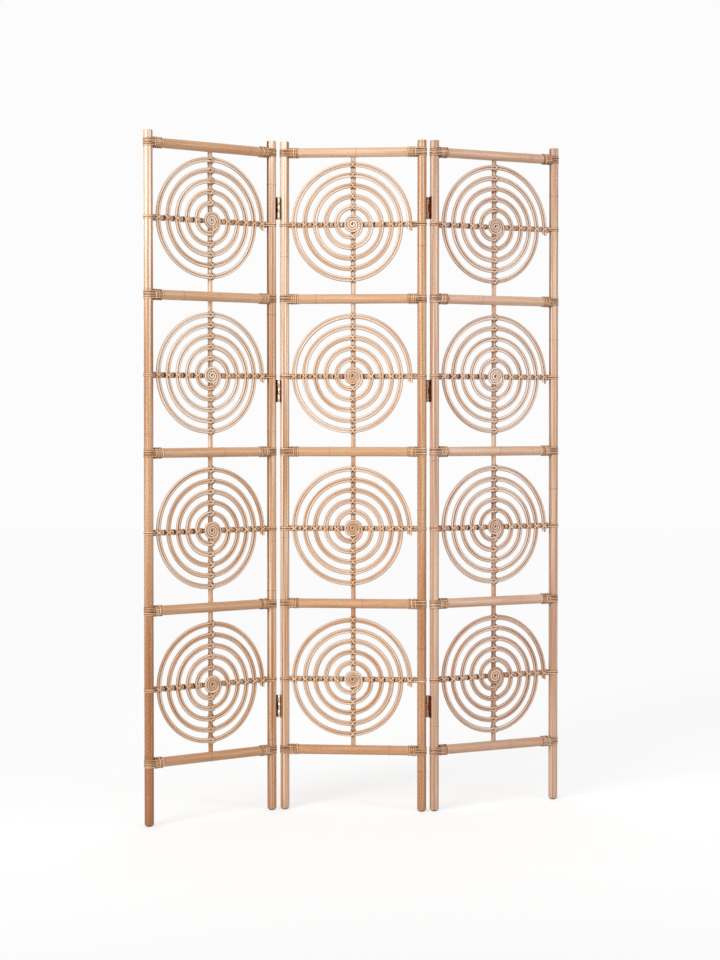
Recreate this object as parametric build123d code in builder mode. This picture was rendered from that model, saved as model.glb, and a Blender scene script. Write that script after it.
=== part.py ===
"""Folding screen of three cane panels, joined by butt hinges.

Each panel is a ladder of two posts and five rails.  Every bay of the ladder holds an upright,
a crossbar and, tied to their front, a flat spiral wound from two canes laid side by side.
The screen stands in its zigzag: the middle panel lies along X, the front faces -Y and the floor
is Z = 0.  All lengths are in millimetres and all angles in degrees.
"""

import os
from math import cos, pi, radians, sin, sqrt

from build123d import *

os.makedirs("parts", exist_ok=True)

# Frame of a panel
screen_height = 1800
post_spacing = 370
post_diameter = 25
foot_bevel = 4
rail_diameter = 26
rail_shares = (0.0906, 0.31, 0.5372, 0.765, 0.9828)
mouth_share = 0.5

# Sticks that carry the spirals, drawn with flats like the hollows at their ends
stick_diameter = 13
stick_sides = 8
hollow_sides = 8
stick_setback = 6
crossbar_shares = (0.481, 0.494, 0.493, 0.508)

# Spirals of two canes, with the straight facets that each turn gets from the outside inwards
cane_width = 6.2
cane_gap = 0.7
spiral_margin = 4.5
coil_radius = 25
eye_shift = 5
flank_squeeze = 10
squeezed_share = 0.5
tail_length = 19
tail_stagger = 3
open_turn_facets = (14, 10, 8, 8, 8)
coil_facets = 8
inner_cane_coil_facets = 12
outer_cane_coil_facets = 6

# Cane bindings round the joints of the frame
strap_thickness = 1.2
strap_height = 22
strap_bevel = 8
strap_reach = 38

# Butt hinges between the panels
hinge_shares = (0.1561, 0.6278, 0.9)
hinge_length = 60
leaf_thickness = 1.2
leaf_width = 20
knuckle_diameter = 6
knuckle_count = 3
knuckle_sides = 8
knuckle_gap = 0.4
pin_diameter = 2.6
pin_running_gap = 0.06
pin_stand_off = 2.9
seat_depth = 1.8

# Rest pose and the room left at each seat
left_fold = 38.4
right_fold = 29.7
seat_gap = 0.3

# Sizes worked out from the ones above
rail_heights = [share * screen_height for share in rail_shares]
hinge_heights = [share * screen_height for share in hinge_shares]
post_radius = post_diameter / 2
rail_radius = rail_diameter / 2
stick_radius = stick_diameter / 2
knuckle_radius = knuckle_diameter / 2
cane_pitch = cane_width + cane_gap
open_turns = len(open_turn_facets)
cane_back = stick_setback - stick_radius - seat_gap
half_spacing = post_spacing / 2
leaf_seat = post_radius - seat_depth
pin_side = leaf_seat + knuckle_radius
pin_depth = post_radius + pin_stand_off
reach = half_spacing + pin_side
mouth_depth = mouth_share * post_radius
between_posts = post_spacing - 2 * mouth_depth
knuckle_room = hinge_length / knuckle_count
knuckle_length = knuckle_room - knuckle_gap
pin_radius = pin_diameter / 2
half_turn = 180
stick_turn = half_turn / stick_sides

# The three panels in plan: a left and a right one swung about the pins of the middle one
left_centre = (
    -reach - reach * cos(radians(left_fold)) - pin_depth * sin(radians(left_fold)),
    -pin_depth - reach * sin(radians(left_fold)) + pin_depth * cos(radians(left_fold)),
)
right_centre = (
    reach + reach * cos(radians(right_fold)) + pin_depth * sin(radians(right_fold)),
    pin_depth + reach * sin(radians(right_fold)) - pin_depth * cos(radians(right_fold)),
)
left_end = (
    left_centre[0] - half_spacing * cos(radians(left_fold)),
    left_centre[1] - half_spacing * sin(radians(left_fold)),
)
right_end = (
    right_centre[0] + half_spacing * cos(radians(right_fold)),
    right_centre[1] + half_spacing * sin(radians(right_fold)),
)
middle_x = (left_end[0] + right_end[0]) / 2
middle_y = (left_end[1] + right_end[1]) / 2


def panel_plane(centre, fold):
    """Floor plane of a panel: its X runs along the panel and its Y points to the back."""
    origin = (centre[0] - middle_x, centre[1] - middle_y, 0)
    return Plane(origin=origin, x_dir=(cos(radians(fold)), sin(radians(fold)), 0), z_dir=(0, 0, 1))


panels = {
    "left": panel_plane(left_centre, left_fold),
    "middle": panel_plane((0, 0), 0),
    "right": panel_plane(right_centre, right_fold),
}
rail_names = ("bottom", "lower", "middle", "upper", "top")
bay_names = ("bottom", "lower", "upper", "top")
bays = list(zip(rail_heights[:-1], rail_heights[1:]))
crossbar_heights = [low + share * (high - low) for (low, high), share in zip(bays, crossbar_shares)]

# The spirals fill the room between the posts, or between the rails where that is less
side_room = half_spacing - post_radius
lower_room = min(height - low for height, (low, high) in zip(crossbar_heights, bays)) - rail_radius
upper_room = min(high - height for height, (low, high) in zip(crossbar_heights, bays)) - rail_radius
spiral_radius = min(side_room, lower_room, upper_room) - spiral_margin
turn_pitch = (spiral_radius - coil_radius) / open_turns


def across(plane, x, y, height):
    """Plane square to the panel's X, with its own X up and its own Y to the back."""
    origin = plane.from_local_coords(Vector(x, y, height))
    return Plane(origin=origin, x_dir=(0, 0, 1), z_dir=plane.x_dir)


# Posts, bevelled at the foot, with a flat-bottomed seat for each hinge leaf
def make_post(name, plane, side, hinge_side):
    x = side * half_spacing
    with BuildPart() as post:
        with BuildSketch(plane):
            with Locations((x, 0)):
                Circle(post_radius)
        extrude(amount=screen_height)
        chamfer(post.edges().group_by(Axis.Z)[0], foot_bevel)
        if hinge_side:
            for height in hinge_heights:
                with BuildSketch(plane.offset(height - hinge_length / 2)):
                    with Locations((x + hinge_side * (leaf_seat + post_radius), 0)):
                        Rectangle(post_diameter, post_diameter)
                extrude(amount=hinge_length, mode=Mode.SUBTRACT)
    post.part.label = name
    export_step(post.part, f"parts/{name}.step")


make_post("left_panel_outer_post", panels["left"], -1, 0)
make_post("left_panel_hinge_post", panels["left"], 1, 1)
make_post("middle_panel_left_post", panels["middle"], -1, -1)
make_post("middle_panel_right_post", panels["middle"], 1, 1)
make_post("right_panel_hinge_post", panels["right"], -1, -1)
make_post("right_panel_outer_post", panels["right"], 1, 0)


# Rails, hollowed at their ends to fit the round of the posts
def make_rail(name, plane, height):
    with BuildPart() as rail:
        with BuildSketch(across(plane, -between_posts / 2, 0, height)):
            Circle(rail_radius)
        extrude(amount=between_posts)
        with BuildSketch(plane.offset(height - rail_diameter)):
            with GridLocations(post_spacing, 0, 2, 1):
                Circle(post_radius + seat_gap)
        extrude(amount=2 * rail_diameter, mode=Mode.SUBTRACT)
    rail.part.label = name
    export_step(rail.part, f"parts/{name}.step")


for panel_name, plane in panels.items():
    for rail_name, height in zip(rail_names, rail_heights):
        make_rail(f"{panel_name}_panel_{rail_name}_rail", plane, height)


# Uprights and crossbars, halved into each other where they cross
def make_uprights(name, plane):
    with BuildPart() as uprights:
        for low, high in bays:
            with BuildSketch(plane.offset(low + mouth_depth)):
                with Locations((0, stick_setback)):
                    RegularPolygon(stick_radius, stick_sides, major_radius=False, rotation=stick_turn)
            extrude(amount=high - low - 2 * mouth_depth)
        for height in rail_heights:
            with BuildSketch(across(plane, -stick_diameter, 0, height)):
                RegularPolygon(rail_radius + seat_gap, hollow_sides, major_radius=False)
            extrude(amount=2 * stick_diameter, mode=Mode.SUBTRACT)
        for height in crossbar_heights:
            with BuildSketch(plane.offset(height - stick_radius - seat_gap / 2)):
                with Locations((0, stick_setback - stick_radius + seat_gap / 2)):
                    Rectangle(2 * stick_diameter, stick_diameter)
            extrude(amount=stick_diameter + seat_gap, mode=Mode.SUBTRACT)
    uprights.part.label = name
    export_step(uprights.part, f"parts/{name}.step")


def make_crossbars(name, plane):
    with BuildPart() as crossbars:
        for height in crossbar_heights:
            with BuildSketch(across(plane, -between_posts / 2, stick_setback, height)):
                RegularPolygon(stick_radius, stick_sides, major_radius=False, rotation=stick_turn)
            extrude(amount=between_posts)
            with BuildSketch(plane.offset(height - stick_diameter)):
                with GridLocations(post_spacing, 0, 2, 1):
                    RegularPolygon(post_radius + seat_gap, hollow_sides, major_radius=False)
                with Locations((0, stick_setback + stick_radius)):
                    Rectangle(stick_diameter + seat_gap, stick_diameter)
            extrude(amount=2 * stick_diameter, mode=Mode.SUBTRACT)
    crossbars.part.label = name
    export_step(crossbars.part, f"parts/{name}.step")


for panel_name, plane in panels.items():
    make_uprights(f"{panel_name}_panel_uprights", plane)
    make_crossbars(f"{panel_name}_panel_crossbars", plane)


# Flat spirals: the pair of canes runs in from the right, anticlockwise, to a coil at the crossing
def pair_radius(turn):
    """Distance from the eye to the middle of the pair, after so many turns from the outer end."""
    swing = cos(2 * pi * turn)
    squeeze = max(0, 1 - turn / (squeezed_share * open_turns))
    inward = turn_pitch * turn + eye_shift * swing + flank_squeeze * squeeze * max(0, swing) ** 2
    return spiral_radius - inward


def cane_radius(turn, side):
    """Distance from the eye to one cane of the pair: side is 1 for the outer and -1 for the inner."""
    facets = coil_facets if turn >= open_turns else open_turn_facets[int(max(turn, 0))]
    pitch = cane_pitch / cos(pi / facets)
    if turn < open_turns:
        return pair_radius(turn) + side * pitch / 2
    return pair_radius(open_turns) + side * pitch / 2 - pitch * (turn - open_turns)


def cane_corners(side, tail, coil_length):
    """Corners of one cane's middle line, from its cut end at the right into the coil."""
    turns = [-tail / (2 * pi * spiral_radius)]
    for whole, facets in enumerate(open_turn_facets):
        turns += [whole + step / facets for step in range(facets)]
    turns += [open_turns + step / coil_facets for step in range(coil_length + 1)]
    corners = []
    for turn in turns:
        radius = cane_radius(turn, side)
        corners.append(Vector(radius * cos(2 * pi * turn), cane_back, radius * sin(2 * pi * turn)))
    return corners


def least_gap(corners, others, neighbours):
    """Least room between two canes, or between a cane and its own turns past the neighbours."""
    gaps = []
    for place, corner in enumerate(corners):
        for start, (first, second) in enumerate(zip(others[:-1], others[1:])):
            if neighbours and abs(place - start) <= neighbours:
                continue
            run = second - first
            along = min(1, max(0, (corner - first).dot(run) / run.dot(run)))
            gaps.append((corner - first - run * along).length)
    return min(gaps) - cane_width


def make_cane(corners):
    """One cane, flat where it lies on the sticks and ridged at the front, mitred at its corners."""
    with BuildPart() as cane:
        with BuildLine():
            Polyline(*corners)
        with BuildSketch(Plane(origin=corners[0], x_dir=(0, -1, 0), z_dir=corners[1] - corners[0])):
            with BuildLine():
                Polyline((0, -cane_width / 2), (0, cane_width / 2), (cane_width, 0), close=True)
            make_face()
        sweep(transition=Transition.RIGHT)
    return cane.part


outer_corners = cane_corners(1, tail_length, outer_cane_coil_facets)
inner_corners = cane_corners(-1, tail_length - tail_stagger, inner_cane_coil_facets)
print("least gap of the outer cane to itself", least_gap(outer_corners, outer_corners, coil_facets // 2))
print("least gap of the inner cane to itself", least_gap(inner_corners, inner_corners, coil_facets // 2))
print("least gap between the two canes", least_gap(outer_corners, inner_corners, 0))
outer_cane = make_cane(outer_corners)
inner_cane = make_cane(inner_corners)


def make_spiral(name, plane, height):
    with BuildPart() as spiral:
        with Locations(plane.offset(height)):
            add(outer_cane)
            add(inner_cane)
    spiral.part.label = name
    export_step(spiral.part, f"parts/{name}.step")


for panel_name, plane in panels.items():
    for bay_name, height in zip(bay_names, crossbar_heights):
        make_spiral(f"{panel_name}_panel_{bay_name}_spiral", plane, height)


# Bindings: the cane strapped round each post and laid along the rail's front and back
def strap_edge(side, out, half_width, bevel):
    """Open outline of a strap's inner or outer face, from one end round the post to the other."""
    start = side * (half_spacing - strap_reach)
    bend = side * (out - bevel)
    end = side * out
    return [
        (start, half_width),
        (bend, half_width),
        (end, half_width - bevel),
        (end, bevel - half_width),
        (bend, -half_width),
        (start, -half_width),
    ]


def make_rail_bindings(name, plane):
    inside = half_spacing + post_radius + seat_gap
    outside = inside + strap_thickness
    inner_half_width = rail_radius + seat_gap
    outer_half_width = inner_half_width + strap_thickness
    outer_bevel = strap_bevel + (2 - sqrt(2)) * strap_thickness
    with BuildPart() as bindings:
        for height in rail_heights:
            for side in (-1, 1):
                outer_edge = strap_edge(side, outside, outer_half_width, outer_bevel)
                inner_edge = strap_edge(side, inside, inner_half_width, strap_bevel)
                with BuildSketch(plane.offset(height - strap_height / 2)):
                    with BuildLine():
                        Polyline(*outer_edge, *reversed(inner_edge), close=True)
                    make_face()
                extrude(amount=strap_height)
    bindings.part.label = name
    export_step(bindings.part, f"parts/{name}.step")


for panel_name, plane in panels.items():
    make_rail_bindings(f"{panel_name}_panel_rail_bindings", plane)


# Butt hinges: leaves lie in the seats of two facing posts, with their knuckles on one pin
def make_leaves(name, plane, side, face, knuckles):
    """One leaf at each height: side tells which end of the panel, face -1 the front, 1 the back."""
    pin_x = side * reach
    pin_y = face * pin_depth
    leaf_x = side * (half_spacing + leaf_seat + leaf_thickness / 2)
    knuckle_room_y = knuckle_radius + seat_gap
    with BuildPart() as leaves:
        for height in hinge_heights:
            bottom = height - hinge_length / 2
            with BuildSketch(plane.offset(bottom)):
                with Locations((leaf_x, pin_y - face * (knuckle_room_y + leaf_width) / 2)):
                    Rectangle(leaf_thickness, leaf_width - knuckle_room_y)
            extrude(amount=hinge_length)
            for knuckle in knuckles:
                with BuildSketch(plane.offset(bottom + knuckle * knuckle_room + knuckle_gap / 2)):
                    with Locations((leaf_x, pin_y - face * knuckle_room_y / 2)):
                        Rectangle(leaf_thickness, knuckle_room_y)
                    with Locations((pin_x, pin_y)):
                        RegularPolygon(knuckle_radius, knuckle_sides)
                        RegularPolygon(
                            pin_radius + pin_running_gap,
                            knuckle_sides,
                            major_radius=False,
                            mode=Mode.SUBTRACT,
                        )
                extrude(amount=knuckle_length)
    leaves.part.label = name
    export_step(leaves.part, f"parts/{name}.step")


def make_pins(name, plane, side, face):
    with BuildPart() as pins:
        for height in hinge_heights:
            with BuildSketch(plane.offset(height - hinge_length / 2)):
                with Locations((side * reach, face * pin_depth)):
                    Circle(pin_radius)
            extrude(amount=hinge_length)
    pins.part.label = name
    export_step(pins.part, f"parts/{name}.step")


end_knuckles = range(0, knuckle_count, 2)
inner_knuckles = range(1, knuckle_count, 2)
make_leaves("left_hinge_leaves_on_left_panel", panels["left"], 1, -1, inner_knuckles)
make_leaves("left_hinge_leaves_on_middle_panel", panels["middle"], -1, -1, end_knuckles)
make_pins("left_hinge_pins", panels["middle"], -1, -1)
make_leaves("right_hinge_leaves_on_middle_panel", panels["middle"], 1, 1, end_knuckles)
make_leaves("right_hinge_leaves_on_right_panel", panels["right"], -1, 1, inner_knuckles)
make_pins("right_hinge_pins", panels["middle"], 1, 1)
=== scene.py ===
"""Studio scene of a three-panel folding screen made of natural cane.

Every panel is built in its own frame (x along the panel, y to the back, z up) and then set where
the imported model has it.  Lengths are in metres.
"""

import logging
from abc import ABC, abstractmethod
from dataclasses import dataclass, field, replace
from enum import Enum
from functools import cache
from itertools import accumulate, product
from math import acos, atan2, ceil, cos, hypot, inf, pi, radians, remainder, sin, sqrt
from random import Random
from typing import Iterable, Iterator, Optional, Sequence

import bmesh
import bpy
from mathutils import Matrix, Vector, noise

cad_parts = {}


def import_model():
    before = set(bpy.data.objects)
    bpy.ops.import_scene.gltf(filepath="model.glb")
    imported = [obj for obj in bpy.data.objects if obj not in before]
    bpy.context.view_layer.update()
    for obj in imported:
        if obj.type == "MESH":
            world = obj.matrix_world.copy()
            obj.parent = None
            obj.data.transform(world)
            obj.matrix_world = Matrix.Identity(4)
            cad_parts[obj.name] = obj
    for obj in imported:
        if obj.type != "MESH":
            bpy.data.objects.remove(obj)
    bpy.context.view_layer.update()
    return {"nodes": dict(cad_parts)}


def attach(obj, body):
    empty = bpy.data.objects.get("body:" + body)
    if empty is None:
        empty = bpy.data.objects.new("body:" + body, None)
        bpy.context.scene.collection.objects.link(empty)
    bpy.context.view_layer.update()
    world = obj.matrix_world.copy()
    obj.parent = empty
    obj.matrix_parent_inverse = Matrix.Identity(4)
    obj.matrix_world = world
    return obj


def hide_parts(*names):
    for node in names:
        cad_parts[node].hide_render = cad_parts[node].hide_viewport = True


log = logging.getLogger("folding_screen")

MM = 0.001
TAU = 2 * pi
UV_NAME = "stock"
TONE_NAME = "tone"
SHADE_AND_SOIL_NAME = "soil_and_shade"
PATTERN_LENGTH = 40.0  # length of pattern in which a strand may begin
NOISE_LENGTH = 90.0  # length of unevenness in which a pole may begin

Pair = tuple[float, float]
Triple = tuple[float, float, float]
Socket = bpy.types.NodeSocket
Pieces = Iterator[bpy.types.Object]


class Face(Enum):
    """The two faces of the screen, as the sign of the panel's y."""

    FRONT = -1
    BACK = 1


class Slot(Enum):
    """Material slots of the record."""

    THICK_CANE = "thick_cane"
    THIN_CANE = "thin_cane"
    BINDING = "binding_cane"
    METAL = "hinge_metal"


class Tint(Enum):
    """The two tints of cane in the photograph."""

    HONEY = "honey"
    BLUSH = "blush"


class Kind(Enum):
    """Kinds of stock."""

    POLE = "pole"
    RAIL = "rail"
    CORE = "core"
    PEEL = "peel"
    PLATE = "plate"


@dataclass(frozen=True)
class Sizes:
    """Sizes that several pieces share, as in the solid model."""

    screen_height: float = 1800 * MM
    post_spacing: float = 370 * MM
    post_radius: float = 12.5 * MM
    rail_radius: float = 13 * MM
    rail_shares: tuple[float, ...] = (0.0906, 0.31, 0.5372, 0.765, 0.9828)
    mouth_share: float = 0.5  # how deep a rail reaches into its post, as a share of the post's radius
    stick_radius: float = 6.5 * MM
    stick_setback: float = 6 * MM  # how far the sticks stand behind the posts
    crossbar_shares: tuple[float, ...] = (0.481, 0.494, 0.493, 0.508)  # crossbars' heights in their bays
    seat_gap: float = 0.3 * MM  # room between two pieces that meet
    hinge_shares: tuple[float, ...] = (0.1561, 0.6278, 0.9)
    hinge_length: float = 60 * MM
    leaf_seat: float = 10.7 * MM  # distance from a post's axis to the flat under its leaves
    pin_side: float = 13.7 * MM  # distance from a post's axis to the pin, along the panel
    pin_depth: float = 15.4 * MM  # distance from a post's axis to the pin, across the panel
    left_fold: float = radians(38.4)
    right_fold: float = radians(29.7)

    @property
    def half_spacing(self) -> float:
        """Distance from a panel's middle to a post's axis."""
        return self.post_spacing / 2

    @property
    def reach(self) -> float:
        """Distance from a panel's middle to its hinge pin, along the panel."""
        return self.half_spacing + self.pin_side

    @property
    def rail_end(self) -> float:
        """Distance from a panel's middle to the end of a rail."""
        return self.half_spacing - self.mouth_share * self.post_radius

    @property
    def rail_heights(self) -> list[float]:
        """Heights of the five rails' axes."""
        return [share * self.screen_height for share in self.rail_shares]

    @property
    def hinge_heights(self) -> list[float]:
        """Heights of the hinges' middles."""
        return [share * self.screen_height for share in self.hinge_shares]

    @property
    def bays(self) -> list[Pair]:
        """Lower and upper rail height of each bay, from the floor up."""
        return list(zip(self.rail_heights[:-1], self.rail_heights[1:]))

    @property
    def crossbar_heights(self) -> list[float]:
        """Heights of the four crossbars' axes."""
        return [low + share * (high - low) for (low, high), share in zip(self.bays, self.crossbar_shares)]


SIZES = Sizes()


@dataclass(frozen=True)
class Post:
    """One post of a panel."""

    node: str
    side: int  # end of the panel, -1 or 1
    seat_side: int  # side that is cut flat for hinge leaves, or 0
    tones: Pair  # its shades at the foot and at the top
    streak: Pair = (0.0, 0.0)  # darkness of the streak down its left side, at the foot and at the top


@dataclass(frozen=True)
class Panel:
    """One panel of the screen."""

    name: str
    tint: Tint  # tint of its cane
    seed: int  # number that starts its own irregularities
    posts: tuple[Post, Post]  # its two posts
    rail_tones: tuple[float, ...]  # shades of its rails, from the floor up
    fold: float = 0.0  # its angle from X at rest
    centre: Pair = (0.0, 0.0)  # plan position of its middle at rest

    @property
    def matrix(self) -> Matrix:
        """Matrix from the panel's frame to the row frame."""
        return Matrix.Translation((*self.centre, 0)) @ Matrix.Rotation(self.fold, 4, "Z")


LEFT = Panel(
    "left_panel", Tint.HONEY, 11,
    (
        Post("left_panel_outer_post", -1, 0, (-2.0, 0.7)),
        Post("left_panel_hinge_post", 1, 1, (-0.75, 0.25), (0.3, 1.0)),
    ),
    (-0.9, -0.6, -0.4, -0.3, -0.7),
)
MIDDLE = Panel(
    "middle_panel", Tint.HONEY, 23,
    (
        Post("middle_panel_left_post", -1, -1, (-0.2, 0.6)),
        Post("middle_panel_right_post", 1, 1, (-1.15, -0.45)),
    ),
    (-0.9, -0.55, -0.2, -0.15, 0.5),
)
RIGHT = Panel(
    "right_panel", Tint.BLUSH, 37,
    (
        Post("right_panel_hinge_post", -1, -1, (-0.2, -0.1)),
        Post("right_panel_outer_post", 1, 0, (0.0, -0.3), (0.1, 0.6)),
    ),
    (-0.4, 0.1, 0.2, 0.2, -0.2),
)


def stand_panels() -> list[Panel]:
    """Stand the panels in their zigzag, with the box of the whole screen centred on the origin.

    Returns:
        The left, middle and right panel.
    """
    reach, depth, half = SIZES.reach, SIZES.pin_depth, SIZES.half_spacing
    swung, ends = [], []
    for panel, way, fold in ((LEFT, -1, SIZES.left_fold), (RIGHT, 1, SIZES.right_fold)):
        x = way * (reach + reach * cos(fold) + depth * sin(fold))
        y = way * (depth + reach * sin(fold) - depth * cos(fold))
        swung.append(replace(panel, fold=fold, centre=(x, y)))
        ends.append((x + way * half * cos(fold), y + way * half * sin(fold)))
    middle = [(first + last) / 2 for first, last in zip(*ends)]
    return [
        replace(panel, centre=(panel.centre[0] - middle[0], panel.centre[1] - middle[1]))
        for panel in (swung[0], MIDDLE, swung[1])
    ]


def srgb(code: str) -> tuple[float, float, float, float]:
    """Linear colour of an sRGB hex code.

    Args:
        code: Six hex digits after a hash.

    Returns:
        Red, green, blue and alpha, linear.
    """
    channels = [int(code[place:place + 2], 16) / 255 for place in (1, 3, 5)]
    linear = [c / 12.92 if c <= 0.04045 else ((c + 0.055) / 1.055) ** 2.4 for c in channels]
    return (*linear, 1.0)


class Graph:
    """Adds nodes to the tree of one material or of the surroundings."""

    def __init__(self, owner: bpy.types.Material | bpy.types.World) -> None:
        """Start from an empty tree.

        Args:
            owner: The material or world whose nodes are built.
        """
        owner.use_nodes = True
        self.tree = owner.node_tree
        self.tree.nodes.clear()

    def add(
        self, kind: str, inputs: Optional[dict] = None, output: int | str = 0, stops: Sequence = (),
        **settings: object,
    ) -> Optional[Socket]:
        """Add a node with its settings and links.

        Args:
            kind: Blender's name of the node type, after ShaderNode.
            inputs: Socket name or number to a value, or to another node's output.
            output: Name or number of the output that is used.
            stops: Places and colours of a colour ramp.
            settings: Properties of the node itself.

        Returns:
            The output, or nothing where the node has none.
        """
        node = self.tree.nodes.new(f"ShaderNode{kind}")
        for key, value in settings.items():
            setattr(node, key, value)
        for key, value in (inputs or {}).items():
            if isinstance(value, Socket):
                self.tree.links.new(value, node.inputs[key])
            else:
                node.inputs[key].default_value = value
        while stops and len(node.color_ramp.elements) < len(stops):
            node.color_ramp.elements.new(1.0)
        for number, (place, code) in enumerate(stops):
            node.color_ramp.elements[number].position = place
            node.color_ramp.elements[number].color = srgb(code)
        return node.outputs[output] if len(node.outputs) else None

    def looked_at(self) -> Socket:
        """Whether the surface is seen by the camera, in a mirror or through glass.

        Returns:
            1 where it is, and 0 where it only gives light.
        """
        rays = self.add("LightPath").node.outputs
        mirrored = self.add(
            "Math", {0: rays["Is Glossy Ray"], 1: rays["Is Transmission Ray"]}, operation="MAXIMUM",
        )
        return self.add("Math", {0: rays["Is Camera Ray"], 1: mirrored}, operation="MAXIMUM")


@dataclass(frozen=True)
class CaneFinish:
    """Peeled, scraped and varnished rattan."""

    name: str
    light: str  # colour of the pale fibres
    middle: str  # colour between them
    dark: str  # colour of the dark fibres
    soil_and_shade: str  # colour of soiled cane and of painted shade
    # Width and length of a fibre, drawn about three times as wide as a real one, which would be lost in the
    # picture
    fibre: Pair
    blotch: Pair  # width and length of a patch of one shade
    roughness: Pair  # least and most
    coat: float  # weight of the thin varnish
    relief: float  # height of the fibres
    banding: float = 0.2  # strength of the lengthwise stripes
    mottle: float = 0.05  # strength of the small matt spots, which take over where the cane is dark
    clouding: float = 0.18  # strength of the patches of one shade
    graining: float = 0.34  # strength of the fibres
    speck: float = 0.0  # distance between dark specks, or 0 where there are none
    spot: float = 3.2 * MM  # size of a matt spot
    dullest: float = 0.15  # share of the varnish left where soil or painted shade darkens the cane
    tone_step: float = 0.22  # how far a strand's tone shifts its shade
    speck_rim: Pair = (0.02, 0.075)  # where a speck's soft rim starts and ends, in distances between two
    speck_darkness: float = 0.6
    speckless: float = 0.55  # share of the places that have no speck after all
    darkening: float = 0.9  # share of the soil and shade colour where soil or painted shade darkens the cane
    relief_share: float = 0.6  # strength of the relief
    gloss: float = 0.38  # shine of the cane under its varnish
    coat_roughness: float = 0.12

    def build(self) -> bpy.types.Material:
        """Make the material.

        Returns:
            The new material.
        """
        material = bpy.data.materials.new(self.name)
        graph = Graph(material)
        stock = graph.add("UVMap", uv_map=UV_NAME)
        tone = graph.add("Attribute", output="Fac", attribute_name=TONE_NAME)
        soil_and_shade = graph.add("Attribute", output="Fac", attribute_name=SHADE_AND_SOIL_NAME)
        width, length = self.fibre
        patterns = []
        # Width, length and fineness of the fibres, the stripes, the patches and the matt spots
        for across, along, detail in (
            (width, length, 3.0), (4 * width, 14 * length, 1.0), (*self.blotch, 2.0),
            (self.spot, 1.4 * self.spot, 2.0),
        ):
            drawn = graph.add("Mapping", {"Vector": stock, "Scale": (1 / across, 1 / along, 1)})
            patterns.append(graph.add(
                "TexNoise", {"Vector": drawn, "Scale": 1.0, "Detail": detail, "Roughness": 0.55},
                noise_dimensions="2D",
            ))
        fibres, bands, patches, spots = patterns
        # Stripes show on pale cane and spots on dark cane, so the tone sets the strength of both
        shade = graph.add("Math", {0: tone, 1: self.tone_step, 2: 0.5}, operation="MULTIPLY_ADD")
        # Pattern, the part of its range that counts, and its strength on dark and on pale cane
        for pattern, low, high, on_dark, on_pale in (
            (bands, 0.34, 0.66, 0.3 * self.banding, self.banding),
            (spots, 0.3, 0.7, self.mottle, 0.4 * self.mottle),
        ):
            wave = graph.add("MapRange", {0: pattern, 1: low, 2: high, 3: -1.0, 4: 1.0})
            strength = graph.add("MapRange", {0: tone, 1: -1.0, 2: 0.1, 3: on_dark, 4: on_pale})
            shade = graph.add("Math", {0: wave, 1: strength, 2: shade}, operation="MULTIPLY_ADD")
        # Patches and fibres show alike on every tone
        clouds = graph.add("MapRange", {0: patches, 1: 0.3, 2: 0.7, 3: -self.clouding, 4: self.clouding})
        shade = graph.add("Math", {0: shade, 1: clouds}, operation="ADD")
        grain = graph.add(
            "Math", {0: fibres, 1: self.graining, 2: -self.graining / 2}, operation="MULTIPLY_ADD",
        )
        shade = graph.add("Math", {0: shade, 1: grain}, operation="ADD")
        stops = ((0.08, self.dark), (0.5, self.middle), (0.92, self.light))
        colour = graph.add("ValToRGB", {"Fac": shade}, stops=stops)
        if self.speck:
            cells = {"Vector": stock, "Scale": 1 / self.speck, "Randomness": 1.0}
            near = graph.add("TexVoronoi", cells, "Distance", voronoi_dimensions="2D")
            low, high = self.speck_rim
            dot = graph.add("MapRange", {0: near, 1: low, 2: high, 3: self.speck_darkness, 4: 0.0})
            chance = graph.add("SeparateColor", {0: near.node.outputs["Color"]})
            chosen = graph.add("Math", {0: chance, 1: self.speckless}, operation="GREATER_THAN")
            dot = graph.add("Math", {0: dot, 1: chosen}, operation="MULTIPLY")
            colour = graph.add("Mix", {0: dot, 6: colour, 7: srgb(self.soil_and_shade)}, 2, data_type="RGBA")
        # Soil and painted shade darken the cane and dull its varnish
        darkened = graph.add("Math", {0: soil_and_shade, 1: self.darkening}, operation="MULTIPLY", use_clamp=True)
        colour = graph.add("Mix", {0: darkened, 6: colour, 7: srgb(self.soil_and_shade)}, 2, data_type="RGBA")
        clean = graph.add("MapRange", {0: soil_and_shade, 1: 0.0, 2: 0.9, 3: 1.0, 4: self.dullest})
        low, high = self.roughness
        shader = graph.add("BsdfPrincipled", {
            "Base Color": colour,
            "Roughness": graph.add("MapRange", {0: bands, 1: 0.25, 2: 0.75, 3: low, 4: high}),
            "Normal": graph.add(
                "Bump", {"Height": fibres, "Strength": self.relief_share, "Distance": self.relief},
            ),
            "IOR": 1.5,
            "Specular IOR Level": graph.add("Math", {0: clean, 1: self.gloss}, operation="MULTIPLY"),
            "Coat Weight": graph.add("Math", {0: clean, 1: self.coat}, operation="MULTIPLY"),
            "Coat Roughness": self.coat_roughness,
        })
        graph.add("OutputMaterial", {"Surface": shader})
        return material


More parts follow.
